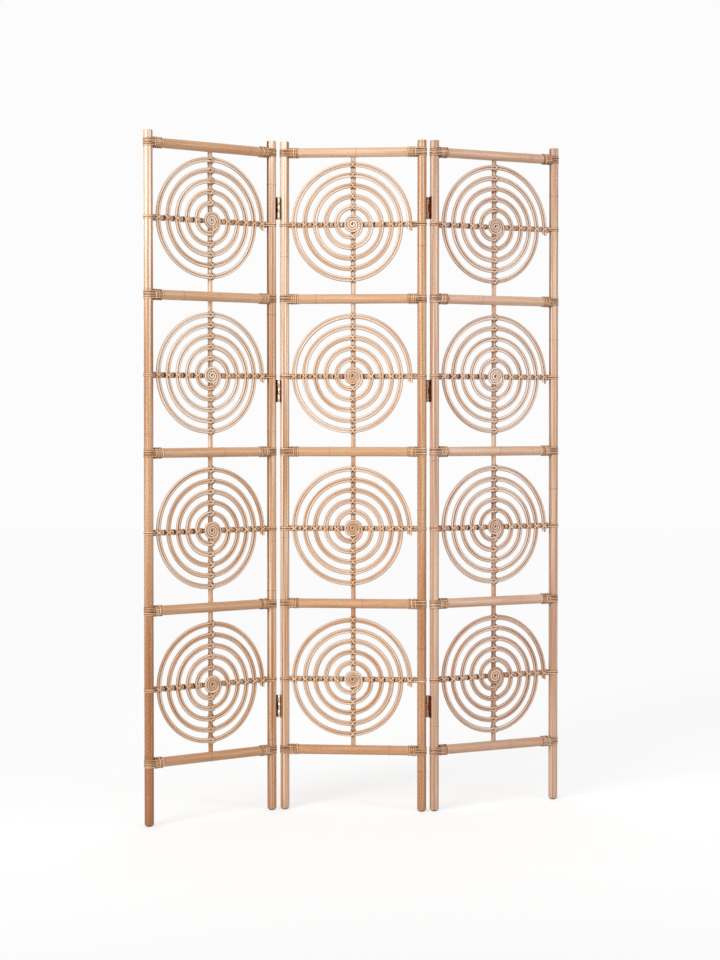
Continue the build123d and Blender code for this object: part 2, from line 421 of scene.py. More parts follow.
@dataclass(frozen=True)
class BronzeFinish:
    """Dark bronze plate whose tone paints wear, highlights and shade."""

    name: str
    dark: str  # colour of the dark skin
    brown: str  # colour where the skin has thinned
    rubbed_and_highlight: str  # colour where the skin has worn, and of the painted highlights
    grain: float  # size of its cloudy patches
    roughness: Pair  # least and most
    scratch: Pair = (MM / 0.9, MM / 0.06)  # width and length of a brushed line
    relief: float = 0.1 * MM  # depth of the brushing
    relief_share: float = 0.25  # strength of the relief
    clouding: float = 0.2  # how far the patches shift its wear

    def build(self) -> bpy.types.Material:
        """Make the material.

        Returns:
            The new material.
        """
        material = bpy.data.materials.new(self.name)
        graph = Graph(material)
        place = graph.add("TexCoord", output="Object")
        # The tone holds wear, painted highlights on knuckles and screws, and painted shade on some leaves
        wear_and_light = graph.add("Attribute", output="Fac", attribute_name=TONE_NAME)
        clouds = graph.add("TexNoise", {"Vector": place, "Scale": 1 / self.grain, "Detail": 4.0})
        across, along = (1 / size for size in self.scratch)
        drawn = graph.add("Mapping", {"Vector": place, "Scale": (across, across, along)})
        brushed = graph.add("TexNoise", {"Vector": drawn, "Scale": 1.0, "Detail": 2.0})
        skin = graph.add("MapRange", {0: clouds, 1: 0.35, 2: 0.65, 3: -self.clouding, 4: self.clouding})
        skin = graph.add("Math", {0: skin, 1: wear_and_light}, operation="ADD", use_clamp=True)
        stops = ((0.04, self.dark), (0.4, self.brown), (0.9, self.rubbed_and_highlight))
        low, high = self.roughness
        shader = graph.add("BsdfPrincipled", {
            "Base Color": graph.add("ValToRGB", {"Fac": skin}, stops=stops),
            "Metallic": 1.0,
            "Roughness": graph.add("MapRange", {0: clouds, 1: 0.3, 2: 0.7, 3: low, 4: high}),
            "Normal": graph.add(
                "Bump", {"Height": brushed, "Strength": self.relief_share, "Distance": self.relief},
            ),
        })
        graph.add("OutputMaterial", {"Surface": shader})
        return material


@dataclass(frozen=True)
class FloorFinish:
    """Matt painted studio floor."""

    name: str
    pale: str  # its lighter shade
    grey: str  # its darker shade
    grain: float  # size of its cloudy patches
    seen: str  # its shade where it is looked at, which leaves room for the glow
    glow: float  # share of white that it has where it is looked at

    def build(self) -> bpy.types.Material:
        """Make the material.

        Returns:
            The new material.
        """
        material = bpy.data.materials.new(self.name)
        graph = Graph(material)
        place = graph.add("TexCoord", output="Object")
        clouds = graph.add("TexNoise", {"Vector": place, "Scale": 1 / self.grain, "Detail": 2.0})
        colour = graph.add("Mix", {0: clouds, 6: srgb(self.pale), 7: srgb(self.grey)}, 2, data_type="RGBA")
        looked_at = graph.looked_at()
        shown = graph.add("Mix", {0: looked_at, 6: colour, 7: srgb(self.seen)}, 2, data_type="RGBA")
        shader = graph.add("BsdfPrincipled", {
            "Base Color": shown,
            "Roughness": 0.9,
            "Emission Color": (1.0, 1.0, 1.0, 1.0),
            "Emission Strength": graph.add("Math", {0: looked_at, 1: self.glow}, operation="MULTIPLY"),
        })
        graph.add("OutputMaterial", {"Surface": shader})
        return material


Finish = CaneFinish | BronzeFinish | FloorFinish

POLE_FIBRE = (0.9 * MM, 60 * MM)
CORE_FIBRE = (0.5 * MM, 60 * MM)
PEEL_FIBRE = (0.4 * MM, 30 * MM)
POLE_BLOTCH = (9 * MM, 420 * MM)
RAIL_BLOTCH = (12 * MM, 160 * MM)
CORE_BLOTCH = (8 * MM, 180 * MM)
PEEL_BLOTCH = (5 * MM, 40 * MM)
CANE_FINISHES = {
    # Thick rattan poles, peeled, sanded and sprayed with a thin satin varnish: long pale and brown
    # stripes from end to end, with a soft sheen along each pole and a few dark specks
    (Tint.HONEY, Kind.POLE): CaneFinish(
        "rattan_pole_honey", "#E5D5C4", "#C29A76", "#955C32", "#55290F", POLE_FIBRE, POLE_BLOTCH,
        (0.36, 0.48), 0.3, 0.1 * MM, 0.36, 0.12, 0.12, 0.34, 22 * MM,
    ),
    (Tint.BLUSH, Kind.POLE): CaneFinish(
        "rattan_pole_blush", "#DFCDBD", "#BD9A80", "#92603F", "#502A17", POLE_FIBRE, POLE_BLOTCH,
        (0.42, 0.54), 0.16, 0.1 * MM, 0.24, 0.1, 0.12, 0.3, 20 * MM,
    ),
    # Rattan poles of the rails, cut from the even middle of the stem and varnished the same way:
    # calmer and flatter than the posts, a little lighter along the top
    (Tint.HONEY, Kind.RAIL): CaneFinish(
        "rattan_rail_honey", "#E0C8AE", "#C39A76", "#A06A3E", "#55290F", POLE_FIBRE, RAIL_BLOTCH,
        (0.4, 0.52), 0.2, 0.1 * MM, 0.08, 0.12, 0.07, 0.2, 22 * MM,
    ),
    (Tint.BLUSH, Kind.RAIL): CaneFinish(
        "rattan_rail_blush", "#D8C0AC", "#BC967C", "#98684A", "#502A17", POLE_FIBRE, RAIL_BLOTCH,
        (0.42, 0.54), 0.18, 0.1 * MM, 0.08, 0.12, 0.07, 0.2, 20 * MM,
    ),
    # Thin round core, drawn through a die from the inside of the stem: pale, fine-grained and
    # almost matt; the brown down its sides and where two canes touch is painted shade
    (Tint.HONEY, Kind.CORE): CaneFinish(
        "rattan_core_honey", "#EADDD0", "#D3B79D", "#B0784A", "#7E4420", CORE_FIBRE, CORE_BLOTCH,
        (0.4, 0.54), 0.2, 0.06 * MM,
    ),
    (Tint.BLUSH, Kind.CORE): CaneFinish(
        "rattan_core_blush", "#E4D6CA", "#CCB19D", "#A8785A", "#74402A", CORE_FIBRE, CORE_BLOTCH,
        (0.42, 0.56), 0.18, 0.06 * MM,
    ),
    # Split peel, shaved from the skin of the stem and bound on wet: warm, smooth and the shiniest
    # of the canes, with painted shade along its edges and underside, so that each turn of a binding stands
    # apart
    (Tint.HONEY, Kind.PEEL): CaneFinish(
        "rattan_peel_honey", "#EED4B2", "#D09C6E", "#985A30", "#48200A", PEEL_FIBRE, PEEL_BLOTCH,
        (0.26, 0.4), 0.4, 0.08 * MM,
    ),
    (Tint.BLUSH, Kind.PEEL): CaneFinish(
        "rattan_peel_blush", "#EACFB4", "#CC9A78", "#925838", "#421E0C", PEEL_FIBRE, PEEL_BLOTCH,
        (0.28, 0.42), 0.35, 0.08 * MM,
    ),
}
# Bronze plate, stained dark and brushed up and down: nearly black in the hollows, pale where hands and the
# other leaf have rubbed it, and with a painted highlight on each knuckle
BRONZE = BronzeFinish("bronze_antique", "#2A140C", "#B06C3E", "#E6CBB2", 5 * MM, (0.26, 0.42))
# Plaster painted white with a roller: no sheen and no edge, so that the floor runs into the backdrop
FLOOR = FloorFinish("plaster_studio_floor", "#EDEDED", "#EAEAEA", 600 * MM, "#B3B3B3", 0.52)


@cache
def material_of(finish: Finish) -> bpy.types.Material:
    """Material of a finish, made when it is first asked for."""
    return finish.build()


def angles(sides: int) -> list[float]:
    """Angles of the points of a ring."""
    return [TAU * number / sides for number in range(sides)]


def spaced(low: float, high: float, count: int) -> list[float]:
    """Places from low to high, in a number of even steps."""
    return [low + (high - low) * number / count for number in range(count + 1)]


def circle(radius: float, sides: int) -> list[Pair]:
    """Round section with a number of points."""
    return [(radius * cos(angle), radius * sin(angle)) for angle in angles(sides)]


# Section of split cane, flat below and domed above, for a half width and a thickness of 1
PEEL_SECTION = ((-1.0, 0.0), (1.0, 0.0), (0.88, 0.58), (0.4, 1.0), (-0.4, 1.0), (-0.88, 0.58))
# Painted shade at each point of a section: along the edges and underside of split cane, where it meets the
# next turn and the bar, and down the sides and back of a round cane, darkest where two canes touch
PEEL_EDGE_SHADE = (1.0, 1.0, 0.75, 0.0, 0.0, 0.75)
WINDING_EDGE_SHADE = (0.7, 0.7, 0.4, 0.0, 0.0, 0.4)
TIE_EDGE_SHADE = (0.4, 0.4, 0.3, 0.0, 0.0, 0.3)
CANE_SIDE_SHADE = (0.95, 0.38, 0.0, 0.0, 0.0, 0.38, 0.95, 0.6, 0.15, 0.1, 0.15, 0.6)
# Painted shade where bindings cover a pole or rail, half the width over which that starts, and the distance
# between two rings that draw a hard step
BOUND_SHADE = 0.9
EDGE = 0.5 * MM
HAIR = 0.01 * MM
# Range of a section that is not cut
FREE = (-inf, inf)


def peel(width: float, thickness: float) -> list[Pair]:
    """Section of split cane."""
    return [(across * width / 2, out * thickness) for across, out in PEEL_SECTION]


class Stock:
    """A mesh under construction, with lengthwise coordinates and a tone for every strand."""

    SHIFT = 0.37  # share of a strand's start by which its pattern also moves sideways

    def __init__(self) -> None:
        """Start an empty mesh with its layers."""
        self.bm = bmesh.new()
        self.uv = self.bm.loops.layers.uv.new(UV_NAME)
        self.tone = self.bm.verts.layers.float.new(TONE_NAME)
        self.soil_and_shade = self.bm.verts.layers.float.new(SHADE_AND_SOIL_NAME)

    def loft(
        self,
        rings: Sequence[Sequence[Vector]],
        tone: float | Pair,
        start: float = 0.0,
        ring_darkness: Sequence[float] = (),
        point_darkness: Sequence[float] = (),
        streak: Pair = (1.0, 1.0),
        sharp: Iterable[int] = (),
        endless: bool = False,
    ) -> None:
        """Skin a row of rings.

        Args:
            rings: Rings of the same number of points, counter-clockwise seen against the run.
            tone: Shade of the strand, about -1 for dark and 1 for pale, or its shades at both ends.
            start: Where the strand begins in the pattern.
            ring_darkness: Darkness at each ring, from 0 to 1, soil and painted shade.
            point_darkness: Darkness at each point of a ring, added to the ring's own: painted shade on canes
                and peel, and a post's streak.
            streak: Share of the points' darkness at the first and at the last ring.
            sharp: Numbers of the rings that keep a hard edge.
            endless: Whether the last ring joins the first.
        """
        sides, count = len(rings[0]), len(rings)
        run = [ring[0] for ring in (*rings, rings[0])]
        steps = ((after - before).length for before, after in zip(run, run[1:]))
        lengths = list(accumulate(steps, initial=start))
        middle = rings[count // 2]
        steps = ((after - before).length for before, after in zip(middle, (*middle[1:], middle[0])))
        girth = [across + start * self.SHIFT for across in accumulate(steps, initial=0.0)]
        reach = max(lengths[count - 1] - start, MM)
        tones = tone if isinstance(tone, tuple) else (tone, tone)
        rows = []
        for number, ring in enumerate(rings):
            share = (lengths[number] - start) / reach
            faded = streak[0] + (streak[1] - streak[0]) * share
            rows.append([self.bm.verts.new(point) for point in ring])
            for vert, painted_mark in zip(rows[-1], point_darkness or [0.0] * sides):
                vert[self.tone] = tones[0] + (tones[1] - tones[0]) * share
                vert[self.soil_and_shade] = (ring_darkness[number] if ring_darkness else 0.0) + painted_mark * faded
        for number, (lower, upper) in enumerate(zip(rows, [*rows[1:], rows[0]] if endless else rows[1:])):
            low, high = lengths[number:number + 2]
            for place in range(sides):
                after = (place + 1) % sides
                face = self.bm.faces.new((lower[place], lower[after], upper[after], upper[place]))
                face.smooth = True
                left, right = girth[place:place + 2]
                corners = ((left, low), (right, low), (right, high), (left, high))
                for loop, corner in zip(face.loops, corners):
                    loop[self.uv].uv = corner
        caps = [] if endless else [(rows[0][::-1], lengths[0]), (rows[-1], lengths[count - 1])]
        for row, length in caps:
            face = self.bm.faces.new(row)
            centre = face.calc_center_median()
            for loop in face.loops:
                away = loop.vert.co - centre
                loop[self.uv].uv = (away.x + away.y, length + away.z)
        for row in [*(rows[number] for number in sharp), *(row for row, _ in caps)]:
            for vert, after in zip(row, (*row[1:], row[0])):
                self.bm.edges.get((vert, after)).smooth = False

    def sweep(
        self, path: Sequence[tuple[Vector, Vector]], section: Sequence[Pair], tone: float, start: float,
        ring_darkness: Sequence[float] = (), point_darkness: Sequence[float] = PEEL_EDGE_SHADE, endless: bool = True,
    ) -> None:
        """Carry a section along a path.

        Args:
            path: Points, each with the direction in which the section's second coordinate points.
            section: The section, counter-clockwise.
            tone: Shade of the strand.
            start: Where the strand begins in the pattern.
            ring_darkness: Darkness at each point of the path, soil and painted shade.
            point_darkness: Painted shade at each point of the section.
            endless: Whether the path closes on itself.
        """
        rings = []
        for place, (point, out) in enumerate(path):
            before = path[place - 1][0] if place or endless else point
            after = path[(place + 1) % len(path)][0] if place + 1 < len(path) or endless else point
            along = (after - before).normalized()
            out = (out - along * out.dot(along)).normalized()
            side = along.cross(out)
            rings.append([point - side * u + out * v for u, v in section])
        self.loft(rings, tone, start, ring_darkness, point_darkness, endless=endless)

    def paint(self, verts: Iterable[bmesh.types.BMVert], tone: float) -> None:
        """Give vertices made by an operator their tone."""
        for vert in verts:
            vert[self.tone] = tone


@dataclass(frozen=True)
class Growth:
    """The growth rings of one pole, and its small unevenness."""

    places: tuple[float, ...]  # where along the pole the rings are
    seed: float  # number that starts the unevenness
    wander: float = 0.22 * MM  # how far the surface wanders
    waves: Pair = (0.6, 5.0)  # how often it wanders, round the pole and in a metre of it
    swell: float = 0.35 * MM  # how far a ring stands out
    swell_reach: float = 9 * MM  # where its swelling ends
    groove: float = 0.25 * MM  # depth of the groove in its middle
    groove_reach: float = 0.6 * MM  # half the groove's width
    soil_and_shade_reach: float = 1.6 * MM  # where the groove's darkness ends
    darkness: float = 0.38  # darkness in the groove
    sink: float = 0.05 * MM  # how far the skin stays inside the plain radius
    # Distances from a ring at which the pole is drawn
    marks: tuple[float, ...] = (0.0, 0.9 * MM, 2 * MM, 5 * MM, 9 * MM)
    first: Pair = (0.08, 0.3)  # least and most distance from the pole's start to its first ring
    apart: Pair = (0.3, 0.46)  # least and most distance between two rings
    last: float = 0.05  # least distance from a ring to the pole's end

    @classmethod
    def by_chance(cls, rng: Random, low: float, high: float) -> "Growth":
        """Growth of one pole, with its rings at uneven places.

        Args:
            rng: Source of chance.
            low: Start of the pole.
            high: End of the pole.

        Returns:
            The growth.
        """
        places = []
        along = low + rng.uniform(*cls.first)
        while along < high - cls.last:
            places.append(along)
            along += rng.uniform(*cls.apart)
        return cls(tuple(places), rng.uniform(0, NOISE_LENGTH))

    def radius(self, base: float, along: float, angle: float) -> float:
        """Radius of the pole's skin.

        Args:
            base: The pole's plain radius.
            along: Place along the pole.
            angle: Angle round it.

        Returns:
            The radius there.
        """
        turn, run = self.waves
        low = noise.noise(Vector((cos(angle) * turn, sin(angle) * turn, along * run + self.seed)))
        ring = 0.0
        for place in self.places:
            away = abs(along - place)
            if away < self.swell_reach:
                ring += self.swell * (1 - away / self.swell_reach) ** 2
            if away < self.groove_reach:
                ring -= self.groove
        return base + self.wander * (low - 0.5) + ring - self.sink

    def ring(
        self, lay: Matrix, base: float, places: Sequence[float], shift: float = 0.0, across: Pair = FREE,
        back: Pair = FREE,
    ) -> list[Vector]:
        """One ring of the pole's skin.

        Args:
            lay: Turns a pole along z into its place.
            base: The pole's plain radius.
            places: Place of each point along the pole.
            shift: How far from there the ring is drawn.
            across: Range of the section's first coordinate that a flat cut leaves.
            back: Range of its second coordinate that a flat cut leaves.

        Returns:
            The ring's points.
        """
        points = []
        for along, angle in zip(places, angles(len(places))):
            skin = self.radius(base, along, angle)
            u = max(across[0], min(across[1], skin * cos(angle)))
            v = max(back[0], min(back[1], skin * sin(angle)))
            points.append(lay @ Vector((u, v, along + shift)))
        return points

    def soil_and_shade(self, along: float) -> float:
        """Darkness of a ring's groove, from 0 to 1."""
        near = [1 - abs(along - place) / self.soil_and_shade_reach for place in self.places]
        return max([0.0, *near]) * self.darkness

    def stations(self, low: float, high: float, step: float) -> set[float]:
        """Places from low to high at which the pole is drawn, a step apart and closer at a growth ring."""
        close = {ring + side * away for ring in self.places for away in self.marks for side in (-1, 1)}
        return {*spaced(low, high, ceil((high - low) / step)), *(z for z in close if low < z < high)}


@dataclass(kw_only=True)
class Assembly(ABC):
    """A group of pieces on one panel."""

    panel: Panel
    rng: Random = field(init=False)  # source of its chance, which starts afresh for every group

    def __post_init__(self) -> None:
        """Start the group's chance from the panel's seed."""
        self.rng = Random(self.panel.seed)

    @abstractmethod
    def build(self) -> Pieces:
        """Make the pieces, one after another."""

    def start(self) -> float:
        """Where a strand begins in the pattern, by chance."""
        return self.rng.uniform(0, PATTERN_LENGTH)

    def sway(self, most: float) -> float:
        """An amount of up to so much to either side, by chance."""
        return self.rng.uniform(-most, most)

    def dress(self, stock: Stock, kind: Kind, node: str, suffix: str = "") -> bpy.types.Object:
        """Turn finished stock into a piece of the screen that rides on its panel.

        Args:
            stock: The mesh, in the panel's frame.
            kind: Its kind, which gives its finish.
            node: The node that it stands for, or its own name where it stands for none.
            suffix: What its name adds to the node's, where it stands for one.

        Returns:
            The new piece.
        """
        stock.bm.transform(self.panel.matrix)
        bmesh.ops.recalc_face_normals(stock.bm, faces=stock.bm.faces)
        name = f"{node}_{suffix}" if suffix else node
        mesh = bpy.data.meshes.new(name)
        stock.bm.to_mesh(mesh)
        stock.bm.free()
        mesh.materials.append(material_of(CANE_FINISHES.get((self.panel.tint, kind), BRONZE)))
        piece = bpy.data.objects.new(name, mesh)
        bpy.context.scene.collection.objects.link(piece)
        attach(piece, self.panel.name)
        if suffix:
            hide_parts(node)
        return piece


@dataclass(kw_only=True)
class Posts(Assembly):
    """The two posts of a panel, with seats for the hinge leaves."""

    sides: int = 48
    step: float = 30 * MM  # usual distance between two rings
    # Height, inset and darkness of the rings at the foot, which tapers to a small dark tip
    foot: tuple = (
        (0.0, 6.2 * MM, 1.0), (0.9 * MM, 4.9 * MM, 1.0), (2.6 * MM, 2.5 * MM, 0.5),
        (4.4 * MM, 0.6 * MM, 0.15),
    )
    foot_height: float = 5.2 * MM  # height of the first plain ring
    top: tuple = ((0.5 * MM, 0.35 * MM), (0.0, 1.3 * MM))  # depth and inset of the rings at the top
    top_depth: float = 1.2 * MM  # depth of the last plain ring
    top_soil: float = 0.06  # darkness of the top
    rail_zone: float = 10.5 * MM  # half the height that a rail's bindings cover
    bar_zone: float = 4.6 * MM  # half the height that a crossbar's bindings cover
    seat_room: float = 2 * MM  # distance from a seat to the nearest plain ring
    streak_angle: float = radians(162)  # angle of the middle of the streak, round the post
    streak_half: float = radians(45)  # half its width
    streak_fade: float = radians(12)  # width of its soft edge

    def build(self) -> Pieces:
        """Make the two posts."""
        for post in self.panel.posts:
            yield self.dress(self._post(post), Kind.POLE, post.node, "pole")

    def _post(self, post: Post) -> Stock:
        """Make one post.

        Args:
            post: Its name, place and shades.

        Returns:
            Its mesh.
        """
        height, half_leaf = SIZES.screen_height, SIZES.hinge_length / 2
        growth = Growth.by_chance(self.rng, 0.0, height)
        zones = [(z, self.rail_zone) for z in SIZES.rail_heights]
        zones += [(z, self.bar_zone) for z in SIZES.crossbar_heights]
        marks = {z + side * (half + away) for z, half in zones for side in (-1, 1) for away in (-EDGE, EDGE)}
        plain = growth.stations(self.foot_height, height - self.top_depth, self.step) | marks
        # Height at which a ring is drawn, height whose unevenness it has, and side that is cut flat
        stations = {(z, z, 0) for z in plain}
        seats = set()
        for middle in SIZES.hinge_heights if post.seat_side else ():
            low, high = middle - half_leaf, middle + half_leaf
            stations = {s for s in stations if not low - self.seat_room < s[1] < high + self.seat_room}
            stations |= {(low - HAIR, low, 0), (high + HAIR, high, 0)}
            stations |= {(z, z, post.seat_side) for z in (low, middle, high)}
            seats |= {low, middle, high}
        rows = [(z, z, 0, inset, soil_and_shade) for z, inset, soil_and_shade in self.foot]
        for drawn, z, flat in sorted(stations):
            # Where bindings cover the post, it is darkened with painted shade
            bound = any(abs(z - middle) < half for middle, half in zones)
            rows.append((drawn, z, flat, 0.0, BOUND_SHADE if bound else growth.soil_and_shade(z)))
        rows += [(height - depth, height - depth, 0, inset, self.top_soil) for depth, inset in self.top]
        lay = Matrix.Translation((post.side * SIZES.half_spacing, 0, 0))
        cuts = {0: FREE, 1: (-inf, SIZES.leaf_seat), -1: (-SIZES.leaf_seat, inf)}
        rings = [
            growth.ring(lay, SIZES.post_radius - inset, [z] * self.sides, drawn - z, cuts[flat])
            for drawn, z, flat, inset, _ in rows
        ]
        point_darkness = [self._streak(angle) for angle in angles(self.sides)]
        hard = [number for number, row in enumerate(rows) if row[1] in seats]
        stock = Stock()
        stock.loft(rings, post.tones, self.start(), [row[-1] for row in rows], point_darkness, post.streak, hard)
        return stock

    def _streak(self, angle: float) -> float:
        """Darkness of the streak down the left side of a post, from 0 to 1."""
        return max(0.0, min(1.0, (self.streak_half - abs(angle - self.streak_angle)) / self.streak_fade))


@dataclass(kw_only=True)
class Rails(Assembly):
    """The five rails of a panel, each hollowed to fit its posts."""

    names: tuple[str, ...] = ("bottom", "lower", "middle", "upper", "top")
    sides: int = 40
    step: float = 22 * MM  # usual distance between two rings
    loops_reach: float = 38 * MM  # distance from a post's axis to the end of the loops round a rail
    mouth: float = 16 * MM  # distance from a rail's end to the first plain ring
    straight: float = 12 * MM  # distance from a rail's end to where its mouth would have straightened out

    def build(self) -> Pieces:
        """Make the five rails.

        Returns:
            The pieces, one after another.
        """
        half, end = SIZES.half_spacing, SIZES.rail_end
        wrapped = half - self.loops_reach
        marks = {side * (wrapped + away) for side in (-1, 1) for away in (-EDGE, EDGE)}
        for rail, height, tone in zip(self.names, SIZES.rail_heights, self.panel.rail_tones):
            growth = Growth.by_chance(self.rng, -half, half)
            stations = sorted(growth.stations(self.mouth - end, end - self.mouth, self.step) | marks)
            places = [self._mouth(-1, share) for share in (0.0, 0.5)]
            places += [[x] * self.sides for x in stations]
            places += [self._mouth(1, share) for share in (0.5, 0.0)]
            # A third of a turn about the space diagonal lays z along x, x along y and y along z
            lay = Matrix.Translation((0, 0, height)) @ Matrix.Rotation(TAU / 3, 4, (1, 1, 1))
            rings = [growth.ring(lay, SIZES.rail_radius, row) for row in places]
            middles = (-half, -half, *stations, half, half)
            # Under the loops near each end, the rail is darkened with painted shade
            ring_darkness = [BOUND_SHADE if abs(x) > wrapped else growth.soil_and_shade(x) for x in middles]
            stock = Stock()
            stock.loft(rings, tone, self.start(), ring_darkness)
            yield self.dress(stock, Kind.RAIL, f"{self.panel.name}_{rail}_rail", "pole")

    def _mouth(self, side: int, share: float) -> list[float]:
        """A ring that follows the round of the post.

        Args:
            side: End of the rail.
            share: How far the ring has straightened out, from 0 to 1.

        Returns:
            Place of each point along the panel.
        """
        reach, end = SIZES.post_radius + SIZES.seat_gap, SIZES.rail_end
        places = []
        for angle in angles(self.sides):
            y = SIZES.rail_radius * cos(angle)
            hollow = min(end, SIZES.half_spacing - sqrt(max(reach * reach - y * y, 0.0)))
            places.append(side * (hollow + (end - self.straight - hollow) * share))
        return places


@dataclass(frozen=True)
class SpiralShape:
    """The run of one spiral's pair of canes, seen from the front."""

    height: float  # height of the eye
    seed: float  # number that starts this spiral's own unevenness
    outer: float = 168 * MM  # distance from the eye to the pair where it starts
    coil: float = 25 * MM  # distance from the eye to the pair where it closes up
    turns: int = 5  # number of open turns between the two
    pitch: float = 6.9 * MM  # distance between the pair's two canes
    depth: float = -3.9 * MM  # place of their axes, towards the back
    eye_shift: float = 5 * MM  # how far the eye lies from the middle of the turns
    squeeze: float = 10 * MM  # how far the outer turns are pressed in on their right flank
    tight_pitch: float = 6.6 * MM  # distance between one close turn and the next
    # How far the pair, the gap between its canes and their depth wander
    drifts: Triple = (1.4 * MM, 0.5 * MM, 0.25 * MM)
    waves: Pair = (2.3, 7.1)  # how often they wander in a turn, and how far apart two kinds of wandering are

    def _drift(self, turn: float, row: int, size: float) -> float:
        """Slow unevenness of one of several kinds."""
        return size * noise.noise(Vector((turn * self.waves[0], row * self.waves[1], self.seed)))

    def middle(self, turn: float) -> float:
        """Distance from the eye to the middle of the pair.

        Args:
            turn: Turns from the outer end.

        Returns:
            The distance.
        """
        swing = cos(TAU * turn)
        pressed = max(0.0, 1 - turn / (0.5 * self.turns))
        inward = (self.outer - self.coil) / self.turns * turn + self.eye_shift * swing
        inward += self.squeeze * pressed * max(0.0, swing) ** 2
        return self.outer - inward + self._drift(turn, 1, self.drifts[0])

    def radius(self, turn: float, side: int) -> float:
        """Distance from the eye to one cane.

        Args:
            turn: Turns from the outer end.
            side: 1 for the outer cane, -1 for the inner.

        Returns:
            The distance.
        """
        if turn <= self.turns:
            half = self.pitch / 2 + self._drift(turn, 2, self.drifts[1])
            return self.middle(turn) + side * half
        return self.middle(self.turns) + side * self.pitch / 2 - self.tight_pitch * (turn - self.turns)

    def point(self, turn: float, side: int) -> Vector:
        """A point of one cane's middle line.

        Args:
            turn: Turns from the outer end.
            side: 1 for the outer cane, -1 for the inner.

        Returns:
            The point, in the panel's frame.
        """
        radius = self.radius(turn, side)
        depth = self.depth + self._drift(turn, 3 + side, self.drifts[2])
        return Vector((radius * cos(TAU * turn), depth, self.height + radius * sin(TAU * turn)))

    def crossings(self, quarter: int) -> list[float]:
        """Where the pair crosses a stick, from the outside inwards: 0 right, 1 up, 2 left, 3 down."""
        return [self.middle(turn + quarter / 4) for turn in range(self.turns)]


@dataclass(kw_only=True)
class Spirals(Assembly):
    """The four spirals of a panel."""

    shapes: Sequence[SpiralShape]  # one shape for each bay, from the floor up
    names: tuple[str, ...] = ("bottom", "lower", "upper", "top")
    tones: tuple[float, ...] = (-0.65, -0.3, -0.05, 0.05)  # usual shades of their canes
    tone_spread: float = 0.4  # most that a cane's shade is off the usual one
    # Side, length past the crossbar and number of close turns of each cane of a pair
    canes: tuple = ((1, 19 * MM, 1.0), (-1, 16 * MM, 2.2))
    cane_radius: float = 3.2 * MM  # usual radius of a cane
    uneven: float = 0.03  # share by which it differs from one cane to the next
    sides: int = 12
    step: float = 1 / 80  # distance between two points of a cane, in turns
    # Distance from each stick's axis, and the painted shade on the cane there, where it passes over the stick
    # under its tie
    crossing: tuple[Pair, ...] = (
        (-8.5 * MM, 0.0), (-6.5 * MM, 0.45), (0.0, 0.55), (6.5 * MM, 0.45), (8.5 * MM, 0.0),
    )

    def build(self) -> Pieces:
        """Make the four spirals.

        Returns:
            The pieces, one after another.
        """
        for bay, shape, tone in zip(self.names, self.shapes, self.tones):
            stock = Stock()
            for side, tail, close in self.canes:
                self._add_cane(stock, shape, side, -tail / (TAU * shape.outer), shape.turns + close, tone)
            yield self.dress(stock, Kind.CORE, f"{self.panel.name}_{bay}_spiral", "canes")

    def _add_cane(
        self, stock: Stock, shape: SpiralShape, side: int, first: float, last: float, tone: float,
    ) -> None:
        """Add one cane.

        Args:
            stock: The mesh that gets it.
            shape: The spiral's shape.
            side: 1 for the outer cane, -1 for the inner.
            first: Where it starts, in turns.
            last: Where it ends.
            tone: Usual shade of this spiral's canes.
        """
        darkened = {turn: 0.0 for turn in spaced(first, last, int((last - first) / self.step))}
        for quarter in range(4 * shape.turns + 1):
            girth = TAU * shape.radius(quarter / 4, side)
            darkened |= {quarter / 4 + away / girth: soil_and_shade for away, soil_and_shade in self.crossing}
        turns = sorted(turn for turn in darkened if first <= turn <= last)
        front = Vector((0, -1, 0))
        radius = self.cane_radius * (1 + self.sway(self.uneven))
        shade = tone + self.sway(self.tone_spread)
        stock.sweep(
            [(shape.point(turn, side), front) for turn in turns], circle(radius, self.sides), shade,
            self.start(), [darkened[turn] for turn in turns], CANE_SIDE_SHADE, False,
        )


